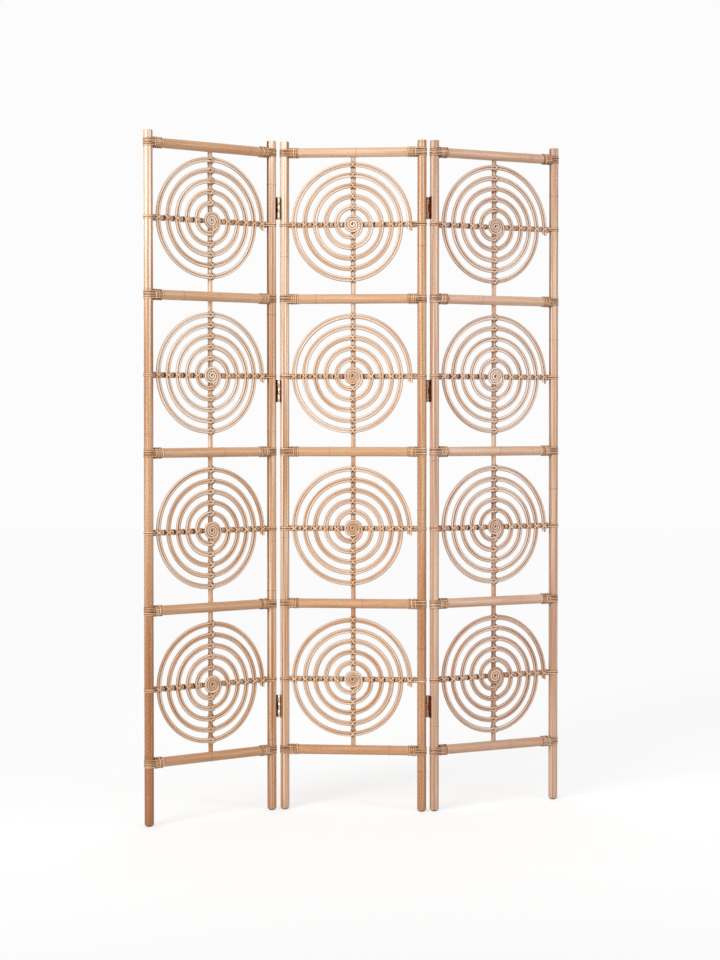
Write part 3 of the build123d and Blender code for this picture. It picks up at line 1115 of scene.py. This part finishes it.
@dataclass(kw_only=True)
class Sticks(Assembly):
    """Uprights and crossbars, halved into each other."""

    shapes: Sequence[SpiralShape]  # the spirals, whose crossings soil the sticks
    tones: tuple[float, ...] = (-1.4, -1.0, -0.6, -0.3)  # usual shades of the sticks, from the floor up
    tone_spread: float = 0.3  # most that a stick's shade is off the usual one
    sides: int = 20
    steps: int = 24  # number of plain steps of a stick
    rail_inset: float = 0.72  # where an upright ends inside a rail, as a share of the rail's radius
    post_inset: float = 0.78  # where a crossbar ends inside a post, as a share of the post's radius
    tip: float = 0.4 * MM  # distance from a stick's end to the ring beside it
    wander: float = 0.3 * MM  # how far its surface wanders
    clear: float = 0.2 * MM  # distance from the halved part to the nearest plain ring
    # Distances from a crossing at which the stick is drawn
    marks: tuple[float, ...] = (-10 * MM, -7.5 * MM, 0.0, 7.5 * MM, 10 * MM)
    # Painted shade on a stick round each crossing, under the pair of canes and its tie
    soil_and_shade_reach: float = 9 * MM  # distance from a crossing at which its darkness ends
    soil_and_shade: float = 0.55

    def build(self) -> Pieces:
        """Make the uprights and the crossbars.

        Returns:
            The pieces, one after another.
        """
        uprights, crossbars = Stock(), Stock()
        inset = SIZES.rail_radius * self.rail_inset
        end = SIZES.half_spacing - SIZES.post_radius * self.post_inset
        stand = Matrix.Translation((0, SIZES.stick_setback, 0))
        for (low, high), shape, tone in zip(SIZES.bays, self.shapes, self.tones):
            right, up, left, down = (shape.crossings(quarter) for quarter in range(4))
            crossed = [shape.height + away for away in up] + [shape.height - away for away in down]
            self._add_stick(uprights, stand, low + inset, high - inset, shape.height, crossed, tone)
            # A bar is an upright turned to lie along the panel, with its front to the back
            lie = Matrix.Translation((0, 0, shape.height)) @ stand @ Matrix.Rotation(pi, 4, (1, 0, 1))
            self._add_stick(crossbars, lie, -end, end, 0.0, right + [-away for away in left], tone)
        yield self.dress(uprights, Kind.CORE, f"{self.panel.name}_uprights", "canes")
        yield self.dress(crossbars, Kind.CORE, f"{self.panel.name}_crossbars", "canes")

    def _add_stick(
        self, stock: Stock, lay: Matrix, low: float, high: float, cross: float,
        crossed: Sequence[float], tone: float,
    ) -> None:
        """Add one stick, half cut away where it meets the other.

        Args:
            stock: The mesh that gets it.
            lay: Turns a stick along z into its place.
            low: Start of the stick.
            high: End of the stick.
            cross: Where it meets the other stick.
            crossed: Where the spiral crosses it.
            tone: Usual shade of this bay's sticks.
        """
        room = SIZES.stick_radius + SIZES.seat_gap / 2
        growth = Growth((), self.rng.uniform(0, NOISE_LENGTH), self.wander)
        places = {low, low + self.tip, high - self.tip, high, *spaced(low, high, self.steps)}
        places |= {mark + away for mark in crossed for away in self.marks}
        rows = [(z, False) for z in places if low <= z <= high and abs(z - cross) > room + self.clear]
        for side in (-1, 1):
            rows += [(cross + side * room, True), (cross + side * (room + HAIR), False)]
        rings, ring_darkness, hard = [], [], []
        for number, (along, cut) in enumerate(sorted(rows)):
            back = (SIZES.seat_gap / 2, inf) if cut else FREE
            rings.append(growth.ring(lay, SIZES.stick_radius, [along] * self.sides, back=back))
            if abs(abs(along - cross) - room) < 10 * HAIR:
                hard.append(number)
            near = min(abs(along - mark) for mark in crossed)
            ring_darkness.append(self.soil_and_shade if near < self.soil_and_shade_reach else 0.0)
        shade = tone + self.sway(self.tone_spread)
        stock.loft(rings, shade, self.start(), ring_darkness, sharp=hard)


@dataclass(frozen=True)
class Wrap:
    """How each end of a bar is bound to its post."""

    radius: float  # of the bar
    setback: float  # of the bar's axis behind the post's
    straps: tuple[Pair, ...]  # height over the bar's axis, and half the depth where it starts
    strap_reach: float  # how far inside the post's axis it starts
    strap_width: float
    strap_tilt: float  # most rise from its front end to its back end
    strap_end_shade: float  # painted shade at its ends, where it meets the bar
    loop_place: float  # of the first loop, from the post's axis
    loop_step: float
    loop_shift: float  # most that a loop's place wanders
    loop_rooms: tuple[float, ...]  # between the bar and each loop
    loop_slack: Optional[Pair]  # least and most that chance adds to the room
    loop_width: float
    loop_lean: float  # most shift along the bar from a loop's bottom to its top
    loop_sides: int


RAIL_WRAP = Wrap(
    radius=SIZES.rail_radius, setback=0.0,
    straps=tuple(
        (height, sqrt(SIZES.rail_radius**2 - height**2) + 0.3 * MM)
        for height in (step * 4.3 * MM for step in range(-2, 3))
    ),
    strap_reach=34 * MM, strap_width=3.3 * MM, strap_tilt=0.8 * MM, strap_end_shade=0.2,
    loop_place=16.4 * MM, loop_step=4.9 * MM, loop_shift=0.4 * MM, loop_rooms=(0.25 * MM,) * 5,
    loop_slack=(-0.1 * MM, 0.2 * MM), loop_width=3 * MM, loop_lean=2.2 * MM, loop_sides=18,
)
BAR_WRAP = Wrap(
    radius=SIZES.stick_radius, setback=SIZES.stick_setback,
    straps=tuple((height, SIZES.stick_radius + 0.2 * MM) for height in (-2.45 * MM, 2.45 * MM)),
    strap_reach=24 * MM, strap_width=4.2 * MM, strap_tilt=0.7 * MM, strap_end_shade=0.15,
    loop_place=16.6 * MM, loop_step=4.1 * MM, loop_shift=0.3 * MM, loop_rooms=(0.7 * MM, 0.5 * MM, 0.3 * MM),
    loop_slack=None, loop_width=3.5 * MM, loop_lean=1.5 * MM, loop_sides=14,
)


@dataclass(kw_only=True)
class Bindings(Assembly):
    """Split cane round the joints of a panel's frame."""

    strap_steps: int = 14  # number of steps of a strap round its post
    strap_room: float = 0.25 * MM  # room between a post and a strap
    strap_thickness: float = 1.15 * MM
    strap_tones: Pair = (-0.4, 0.9)  # shades of the darkest and the palest strap
    loop_thickness: float = 1.7 * MM
    loop_tones: Pair = (-0.5, 1.1)  # shades of the darkest and the palest loop
    loop_bulge: float = 0.01  # share by which a loop's radius wanders

    def build(self) -> Pieces:
        """Make the bindings of the rails, then those of the crossbars.

        Returns:
            The pieces, one after another.
        """
        for wrap, heights, name, suffix in (
            (RAIL_WRAP, SIZES.rail_heights, "rail_bindings", "peel"),
            (BAR_WRAP, SIZES.crossbar_heights, "crossbar_end_bindings", ""),
        ):
            stock = Stock()
            for height, side in product(heights, (-1, 1)):
                self._bind(stock, wrap, side, height)
            yield self.dress(stock, Kind.PEEL, f"{self.panel.name}_{name}", suffix)

    def _bind(self, stock: Stock, wrap: Wrap, side: int, height: float) -> None:
        """Bind one end of a bar with straps round the post and loops round the bar.

        Args:
            stock: The mesh that gets the bindings.
            wrap: How such a bar is bound.
            side: End of the panel.
            height: Height of the bar.
        """
        chance = self.rng.uniform
        for offset, depth in wrap.straps:
            plan = self._plan(wrap.strap_reach, wrap.setback, depth)
            tilt = self.sway(wrap.strap_tilt)
            path = []
            for share, (x, y, angle) in zip(spaced(-0.5, 0.5, len(plan) - 1), plan):
                place = Vector((side * (SIZES.half_spacing + x), y, height + offset + tilt * share))
                path.append((place, Vector((side * cos(angle), sin(angle), 0))))
            tip = [wrap.strap_end_shade] * 2
            stock.sweep(
                path, peel(wrap.strap_width, self.strap_thickness), chance(*self.strap_tones),
                self.start(), [*tip, *[0.0] * (len(plan) - 4), *tip], endless=False,
            )
        for number, room in enumerate(wrap.loop_rooms):
            away = wrap.loop_place + wrap.loop_step * number + self.sway(wrap.loop_shift)
            centre = Vector((side * (SIZES.half_spacing - away), wrap.setback, height))
            radius = wrap.radius + room + (chance(*wrap.loop_slack) if wrap.loop_slack else 0.0)
            lean = side * self.sway(wrap.loop_lean)
            path = []
            for angle in angles(wrap.loop_sides):
                out = Vector((0, cos(angle), sin(angle)))
                bulge = 1 + self.sway(self.loop_bulge)
                path.append((centre + out * radius * bulge + Vector((lean * sin(angle) / 2, 0, 0)), out))
            start = self.start()
            stock.sweep(path, peel(wrap.loop_width, self.loop_thickness), chance(*self.loop_tones), start)

    def _plan(self, reach: float, y: float, depth: float) -> list[Triple]:
        """Plan of a strap that runs from one face of a bar, round a post, to the bar's other face.

        Args:
            reach: How far inside the post's axis the strap starts.
            y: Place of the bar's axis behind the post's.
            depth: Half the bar's thickness where the strap starts.

        Returns:
            Places (outwards along the panel, to the back) and the angle of the outward direction.
        """
        radius = SIZES.post_radius + self.strap_room
        ends = []
        for face in (-1, 1):
            start = (-reach, y + face * depth)
            touch = acos(min(1.0, radius / hypot(*start)))
            ends.append((*start, atan2(start[1], start[0]) - face * touch))
        (*front, first), (*back, last) = ends
        first, last = remainder(first, TAU), last % TAU
        turn = spaced(first, last, self.strap_steps)
        return [(*front, first), *((radius * cos(a), radius * sin(a), a) for a in turn), (*back, last)]


@dataclass(frozen=True)
class Arm:
    """One arm of the cross behind a spiral."""

    eye: Vector  # the spiral's eye, in the panel's plane
    angle: float  # direction of the arm, seen from the front

    @property
    def along(self) -> Vector:
        """Direction along the arm."""
        return Vector((cos(self.angle), 0, sin(self.angle)))

    @property
    def across(self) -> Vector:
        """Direction across the arm."""
        return Vector((-sin(self.angle), 0, cos(self.angle)))


@dataclass(kw_only=True)
class Ties(Assembly):
    """Crossed ties that hold the spirals, and the windings between them."""

    shapes: Sequence[SpiralShape]  # the spirals
    coil_edge: float = 4 * MM  # distance from the closed coil's middle line to its outer edge
    # Run of a tie, as offsets in millimetres along the stick, across it and to the back, and the painted
    # shade where it turns round the stick
    knot: tuple = (
        (-7.7, -5.9, -3.6, 0.35), (-6.3, -4.6, -7.0, 0.0), (0.0, 0.0, -7.7, 0.0), (6.3, 4.6, -7.0, 0.0),
        (7.7, 5.9, -3.6, 0.35), (7.6, 6.9, 4.5, 0.5), (5.0, 5.2, 10.9, 0.1), (0.0, 0.0, 13.0, 0.0),
        (-5.0, -5.2, 10.9, 0.1), (-7.6, -6.9, 4.5, 0.5),
    )
    knot_width: float = 2.5 * MM
    knot_thickness: float = 1.1 * MM
    knot_tones: Pair = (0.8, 1.6)  # shades of the darkest and the palest tie
    knot_shift: float = 0.5  # most that a tie lies off its place, in millimetres
    knot_lift: float = 0.5  # how far its second loop lies over the first, in millimetres
    knot_front: float = -6.0  # depth in front of which it does
    knot_middle: float = 3.0  # depth of the knot's middle, from which its loops face outwards
    knot_flare: float = 1.4  # how much more they face across the stick than along it
    ring_sides: int = 12
    ring_thickness: float = 0.9 * MM
    ring_lean: float = 1.2  # most lean of a ring, in millimetres
    ring_tone_spread: float = 0.5  # most that its shade is off the usual one
    # Offset, width, tone and room of the ring beside each tie of an upright
    collar: tuple[float, float, float, float] = (9.2 * MM, 2.4 * MM, -0.6, 0.1 * MM)
    # Offset, width and darkness of the windings in each gap; the first, fully dark, is a painted shadow
    # beside the pair
    windings: tuple = (
        (-5.6 * MM, 2.6 * MM, 1.0), (-2.2 * MM, 4.0 * MM, 0.0), (1.8 * MM, 4.0 * MM, 0.0),
        (5.7 * MM, 3.8 * MM, 0.0),
    )
    winding_tone: float = 0.35
    winding_room: float = 0.25 * MM

    def build(self) -> Pieces:
        """Make the ties of each bay, and the windings of its crossbar.

        Returns:
            The pieces, one after another.
        """
        ties, windings = Stock(), Stock()
        offset, width, tone, room = self.collar
        for shape, quarter in product(self.shapes, range(4)):
            arm = Arm(Vector((0, 0, shape.height)), quarter * pi / 2)
            upright = quarter % 2 == 1
            places = shape.crossings(quarter)
            for place in places:
                self._tie(ties, arm, place)
                if upright:
                    self._ring(ties, arm, place - offset, width, tone, room)
            if not upright:
                self._wind(windings, arm, [*places, shape.coil - self.coil_edge])
        yield self.dress(ties, Kind.PEEL, f"{self.panel.name}_spiral_ties")
        yield self.dress(windings, Kind.PEEL, f"{self.panel.name}_crossbar_windings")

    def _tie(self, stock: Stock, arm: Arm, place: float) -> None:
        """Tie the pair to a stick with two crossed loops.

        Args:
            stock: The mesh that gets the tie.
            arm: The arm that the pair crosses.
            place: Where it crosses, from the eye.
        """
        along, across = arm.along, arm.across
        shift = self.sway(self.knot_shift)
        for hand in (1, -1):
            path = []
            for u, w, y, _ in self.knot:
                lift = self.knot_lift if hand < 0 and y < self.knot_front else 0.0
                offset = along * (u + shift) + across * (w * hand) + Vector((0, y - lift, 0))
                out = along * u + across * (w * hand) * self.knot_flare + Vector((0, y - self.knot_middle, 0))
                path.append((arm.eye + along * place + offset * MM, out.normalized()))
            stock.sweep(
                path, peel(self.knot_width, self.knot_thickness), self.rng.uniform(*self.knot_tones),
                self.start(), [row[-1] for row in self.knot], TIE_EDGE_SHADE,
            )

    def _ring(
        self, stock: Stock, arm: Arm, place: float, width: float, tone: float, room: float,
        soil_and_shade: float = 0.0, point_darkness: Sequence[float] = PEEL_EDGE_SHADE,
    ) -> None:
        """One loop round a stick.

        Args:
            stock: The mesh that gets it.
            arm: The arm that it goes round.
            place: Distance from the eye.
            width: Its width.
            tone: Its usual tone.
            room: Room between the stick and the loop.
            soil_and_shade: Its darkness; on the first winding of a gap, a painted shadow.
            point_darkness: Painted shade at each point of its section.
        """
        along, across = arm.along, arm.across
        centre = arm.eye + along * place + Vector((0, SIZES.stick_setback, 0))
        radius = SIZES.stick_radius + room
        lean = self.sway(self.ring_lean) * MM
        path = []
        for angle in angles(self.ring_sides):
            out = across * cos(angle) + Vector((0, -sin(angle), 0))
            path.append((centre + out * radius + along * lean * cos(angle), out))
        start = self.start()
        shade = tone + self.sway(self.ring_tone_spread)
        stock.sweep(path, peel(width, self.ring_thickness), shade, start, [soil_and_shade] * self.ring_sides, point_darkness)

    def _wind(self, stock: Stock, arm: Arm, edges: Sequence[float]) -> None:
        """Wind the crossbar between the turns of the spiral.

        Args:
            stock: The mesh that gets the windings.
            arm: The crossbar's arm.
            edges: Where each gap starts and ends, from the outside inwards.
        """
        for outer, inner in zip(edges, edges[1:]):
            for offset, width, soil_and_shade in self.windings:
                place = (outer + inner) / 2 + offset
                self._ring(
                    stock, arm, place, width, self.winding_tone, self.winding_room, soil_and_shade, WINDING_EDGE_SHADE,
                )


@dataclass(kw_only=True)
class Hinges(Assembly):
    """The leaves, knuckles and screws of one side of a fold."""

    node: str
    side: int  # end of the panel, -1 or 1
    face: Face  # face on which the pins are
    knuckles: Sequence[int]  # which of the three knuckles belong to these leaves, from below
    thickness: float = 1.2 * MM
    width: float = 20 * MM  # distance from the pin to a leaf's far edge
    leaf_bevel: float = 0.25 * MM
    knuckle_radius: float = 3 * MM
    knuckle_gap: float = 0.4 * MM
    knuckle_bevel: float = 0.35 * MM
    knuckle_wear_and_highlight: float = 0.85  # how pale a knuckle is: rubbed wear and a painted highlight on the barrel
    knuckle_sides: int = 24
    pin_hole: float = 1.36 * MM  # radius of its hole
    tang_gap: float = 0.3 * MM  # distance from a leaf to the tang of a knuckle, beyond the knuckle's own room
    tang_depth: float = 0.9 * MM  # distance from the pin to the tang's end
    tang_bevel: float = 0.08 * MM
    screw_shares: tuple[float, ...] = (0.155, 0.5, 0.85)  # heights of the screws, as shares of the leaf's
    screw_place: float = 0.58  # distance from the pin to a screw, as a share of the leaf's width
    # Radius and height of a countersunk head in millimetres, from its rim to its middle
    screw_profile: tuple[Pair, ...] = (
        (3.1, -0.3), (3.1, 0.05), (2.7, 0.28), (1.3, 0.38), (1.0, 0.1), (0.0, 0.0),
    )
    screw_steps: int = 12
    screw_wear_and_glint: float = 0.5  # how pale its rubbed side is: wear and a painted glint

    def build(self) -> Pieces:
        """Make the leaves at the three heights.

        Returns:
            The pieces, one after another.
        """
        stock = Stock()
        half, y = SIZES.hinge_length / 2, self._pin[1]
        back = self.face.value
        for height in SIZES.hinge_heights:
            near, far = y - back * (self.knuckle_radius + SIZES.seat_gap), y - back * self.width
            self._plate(stock, near, far, height - half, height + half, self.leaf_bevel)
            for knuckle in self.knuckles:
                self._knuckle(stock, height - half, knuckle)
            for share in self.screw_shares:
                self._screw(stock, height + (share - 0.5) * SIZES.hinge_length)
        yield self.dress(stock, Kind.PLATE, self.node, "metal")

    @property
    def _pin(self) -> Pair:
        """Place of the pin's axis in plan."""
        return self.side * SIZES.reach, self.face.value * SIZES.pin_depth

    @property
    def _seat(self) -> float:
        """Place of the leaves' inner side along the panel."""
        return self.side * (SIZES.half_spacing + SIZES.leaf_seat)

    @property
    def _wear_and_shade(self) -> float:
        """How worn the leaves are, with painted shade: the leaves beside pins on the front sit in the narrow
        gap and are darker.
        """
        return 0.06 if self.face is Face.FRONT else 0.3

    def _plate(self, stock: Stock, near: float, far: float, low: float, high: float, bevel: float) -> None:
        """Add a plate as thick as a leaf, with softened edges.

        Args:
            stock: The mesh that gets it.
            near: Where it starts, across the panel.
            far: Where it ends.
            low: Height of its bottom.
            high: Height of its top.
            bevel: Width of the softened edge.
        """
        centre = (self._seat + self.side * self.thickness / 2, (near + far) / 2, (low + high) / 2)
        size = Matrix.Diagonal((self.thickness, abs(far - near), high - low, 1))
        made = bmesh.ops.create_cube(stock.bm, size=1.0, matrix=Matrix.Translation(centre) @ size)
        edges = list({edge for vert in made["verts"] for edge in vert.link_edges})
        softened = bmesh.ops.bevel(
            stock.bm, geom=edges, offset=bevel, segments=2, profile=0.5, affect="EDGES", clamp_overlap=True,
            material=-1,
        )
        stock.paint(softened["verts"], self._wear_and_shade)

    def _knuckle(self, stock: Stock, foot: float, knuckle: int) -> None:
        """Add one barrel with the tang that joins it to its plate.

        Args:
            stock: The mesh that gets it.
            foot: Height of the hinge's foot.
            knuckle: Its number from below.
        """
        room, bevel = SIZES.hinge_length / 3, self.knuckle_bevel
        low = foot + knuckle * room + self.knuckle_gap / 2
        high = low + room - self.knuckle_gap
        x, y = self._pin
        outside = [(low, bevel), (low + bevel, 0.0), (high - bevel, 0.0), (high, bevel)]
        rows = [(z, self.knuckle_radius - inset) for z, inset in outside]
        rows += [(z, self.pin_hole) for z, _ in reversed(outside)]
        rings = [
            [Vector((x + u, y + v, z)) for u, v in circle(radius, self.knuckle_sides)] for z, radius in rows
        ]
        # The outer rims and the rims of the hole keep a hard edge
        stock.loft(rings, self.knuckle_wear_and_highlight, endless=True, sharp=(0, 3, 4, 7))
        back = self.face.value
        near = y - back * (self.knuckle_radius + SIZES.seat_gap + self.tang_gap)
        self._plate(stock, near, y - back * self.tang_depth, low, high, self.tang_bevel)

    def _screw(self, stock: Stock, height: float) -> None:
        """Add one countersunk screw head.

        Args:
            stock: The mesh that gets it.
            height: Height of the screw.
        """
        bm = stock.bm
        y = self._pin[1] - self.face.value * self.width * self.screw_place
        base = Vector((self._seat + self.side * self.thickness, y, height))
        verts = [
            bm.verts.new(base + Vector((self.side * out, radius, 0)) * MM)
            for radius, out in self.screw_profile
        ]
        edges = [bm.edges.new(pair) for pair in zip(verts, verts[1:])]
        made = bmesh.ops.spin(
            bm, geom=verts + edges, cent=base, axis=(1, 0, 0), dvec=(0, 0, 0), angle=TAU,
            steps=self.screw_steps, use_merge=True, use_duplicate=False,
        )
        painted_mark = {item for item in made["geom_last"] if isinstance(item, bmesh.types.BMVert)}
        painted_mark |= {vert for edge in edges for vert in edge.verts}
        beside = {other for vert in painted_mark for edge in vert.link_edges for other in edge.verts}
        stock.paint(painted_mark | beside, self.screw_wear_and_glint)


@dataclass(frozen=True)
class Softbox:
    """One area light."""

    name: str
    place: Triple
    target: Triple
    size: Pair  # its width and height
    power: float
    beam: float  # how wide it shines
    colour: str


@dataclass(frozen=True)
class Studio:
    """Camera, floor and lights."""

    camera_place: Triple = (0.4174, -4.9655, 1.0691)
    camera_aim: Triple = (-0.0827, 0.9966, -0.0171)
    focal_pixels: float = 1863.5  # its focal length, in pixels of the photograph
    centre_pixels: float = 34.5  # how far the picture's middle lies off the lens's axis
    image_side: int = 960  # longer side of the photograph, in pixels
    sensor: float = 36.0
    view_end: float = 60.0  # how far the camera sees
    floor_half: float = 12.0  # half the floor's width
    boxes: tuple[Softbox, ...] = (
        Softbox("left_strip", (-2.1, -2.35, 2.2), (0, 0, 1.3), (0.7, 2.5), 7.6, radians(60), "#FFFDFA"),
        Softbox("right_strip", (2.9, -1.5, 2.0), (0, 0, 1.2), (0.6, 2.4), 4.4, radians(60), "#FFFFFF"),
    )
    backdrop: str = "#F9F9F9"  # colour of the surroundings as they light the screen
    paper: str = "#FCFCFC"  # colour of the surroundings as they are looked at
    wing_share: float = 0.32  # their strength at the sides, as a share of that behind and in front
    wings: Pair = (0.35, 0.95)  # how far round they fade, as the sideways share of the direction
    daylight_from: Triple = (-0.5, -1.0, 0.5)  # where the soft sun stands
    daylight_strength: float = 0.94
    daylight_spread: float = radians(24)  # its angle, as wide as a large window

    def _stand(self, data: bpy.types.ID, aim: Vector, place: Sequence[float] = (0, 0, 0)) -> bpy.types.Object:
        """Stand the camera or a light in the studio.

        Args:
            data: The camera or light.
            aim: Direction in which it points.
            place: Where it stands.

        Returns:
            The new object.
        """
        thing = bpy.data.objects.new(data.name, data)
        thing.location = place
        thing.rotation_euler = aim.to_track_quat("-Z", "Y").to_euler()
        bpy.context.scene.collection.objects.link(thing)
        return thing

    def add_camera(self) -> None:
        """Set up the camera of the photograph."""
        data = bpy.data.cameras.new("camera")
        data.sensor_width = self.sensor
        data.sensor_fit = "AUTO"
        data.lens = self.focal_pixels / self.image_side * self.sensor
        data.shift_y = -self.centre_pixels / self.image_side
        data.clip_end = self.view_end
        data.dof.use_dof = False
        bpy.context.scene.camera = self._stand(data, Vector(self.camera_aim), self.camera_place)

    def add_floor(self) -> bpy.types.Object:
        """Lay the floor.

        Returns:
            The floor.
        """
        bm = bmesh.new()
        bmesh.ops.create_grid(bm, x_segments=8, y_segments=8, size=self.floor_half)
        mesh = bpy.data.meshes.new("studio_floor")
        bm.to_mesh(mesh)
        bm.free()
        mesh.materials.append(material_of(FLOOR))
        floor = bpy.data.objects.new("studio_floor", mesh)
        bpy.context.scene.collection.objects.link(floor)
        return floor

    def add_surroundings(self) -> None:
        """Light the screen from pale surroundings, dimmer at the sides, and show plain paper behind it."""
        world = bpy.data.worlds.new("studio_world")
        graph = Graph(world)
        direction = graph.add("SeparateXYZ", {0: graph.add("TexCoord", output="Generated")})
        sideways = graph.add("Math", {0: direction}, operation="ABSOLUTE")
        low, high = self.wings
        strength = graph.add("MapRange", {0: sideways, 1: low, 2: high, 3: 1.0, 4: self.wing_share})
        looked_at = graph.looked_at()
        seen = graph.add("LightPath", output="Is Camera Ray")
        white = graph.add("Math", {0: strength, 1: seen}, operation="MAXIMUM")
        lighting = graph.add("Background", {"Color": srgb(self.backdrop), "Strength": strength})
        paper = graph.add("Background", {"Color": srgb(self.paper), "Strength": white})
        both = graph.add("MixShader", {0: looked_at, 1: lighting, 2: paper})
        graph.add("OutputWorld", {"Surface": both})
        bpy.context.scene.world = world

    def add_lights(self) -> None:
        """Hang the soft sun and the area lights."""
        data = bpy.data.lights.new("overhead_daylight", "SUN")
        data.energy = self.daylight_strength
        data.angle = self.daylight_spread
        self._stand(data, -Vector(self.daylight_from))
        for box in self.boxes:
            data = bpy.data.lights.new(box.name, "AREA")
            data.shape = "RECTANGLE"
            data.size, data.size_y = box.size
            data.energy = box.power
            data.spread = box.beam
            data.color = srgb(box.colour)[:3]
            self._stand(data, Vector(box.target) - Vector(box.place), box.place)


PINS = ("left_hinge_pins", "right_hinge_pins")


def screen_groups() -> list[Assembly]:
    """Every group of pieces of the screen, panel by panel and then hinge by hinge.

    Returns:
        The groups, in the order in which they are built.
    """
    left, middle, right = panels = stand_panels()
    groups: list[Assembly] = []
    for panel in panels:
        shapes = [SpiralShape(z, panel.seed + 3.7 * bay) for bay, z in enumerate(SIZES.crossbar_heights)]
        groups += [
            Posts(panel=panel),
            Rails(panel=panel),
            Sticks(panel=panel, shapes=shapes),
            Spirals(panel=panel, shapes=shapes),
            Bindings(panel=panel),
            Ties(panel=panel, shapes=shapes),
        ]
    for hinge, panel, side, face, knuckles in (
        ("left", left, 1, Face.FRONT, (1,)),
        ("left", middle, -1, Face.FRONT, (0, 2)),
        ("right", middle, 1, Face.BACK, (0, 2)),
        ("right", right, -1, Face.BACK, (1,)),
    ):
        node = f"{hinge}_hinge_leaves_on_{panel.name}"
        groups.append(Hinges(panel=panel, node=node, side=side, face=face, knuckles=knuckles))
    return groups


def main() -> None:
    """Load the frame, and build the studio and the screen."""
    logging.basicConfig(level=logging.INFO)
    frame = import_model()
    studio = Studio()
    studio.add_camera()
    for group in screen_groups():
        for piece in group.build():
            log.info("built %s", piece.name)
    for name in PINS:
        mesh = frame["nodes"][name].data
        mesh.materials.clear()
        mesh.materials.append(material_of(BRONZE))
        log.info("finished %s", name)
    log.info("laid %s", studio.add_floor().name)
    studio.add_surroundings()
    studio.add_lights()
    bpy.context.scene.view_settings.view_transform = "Standard"


if __name__ == "__main__":
    main()
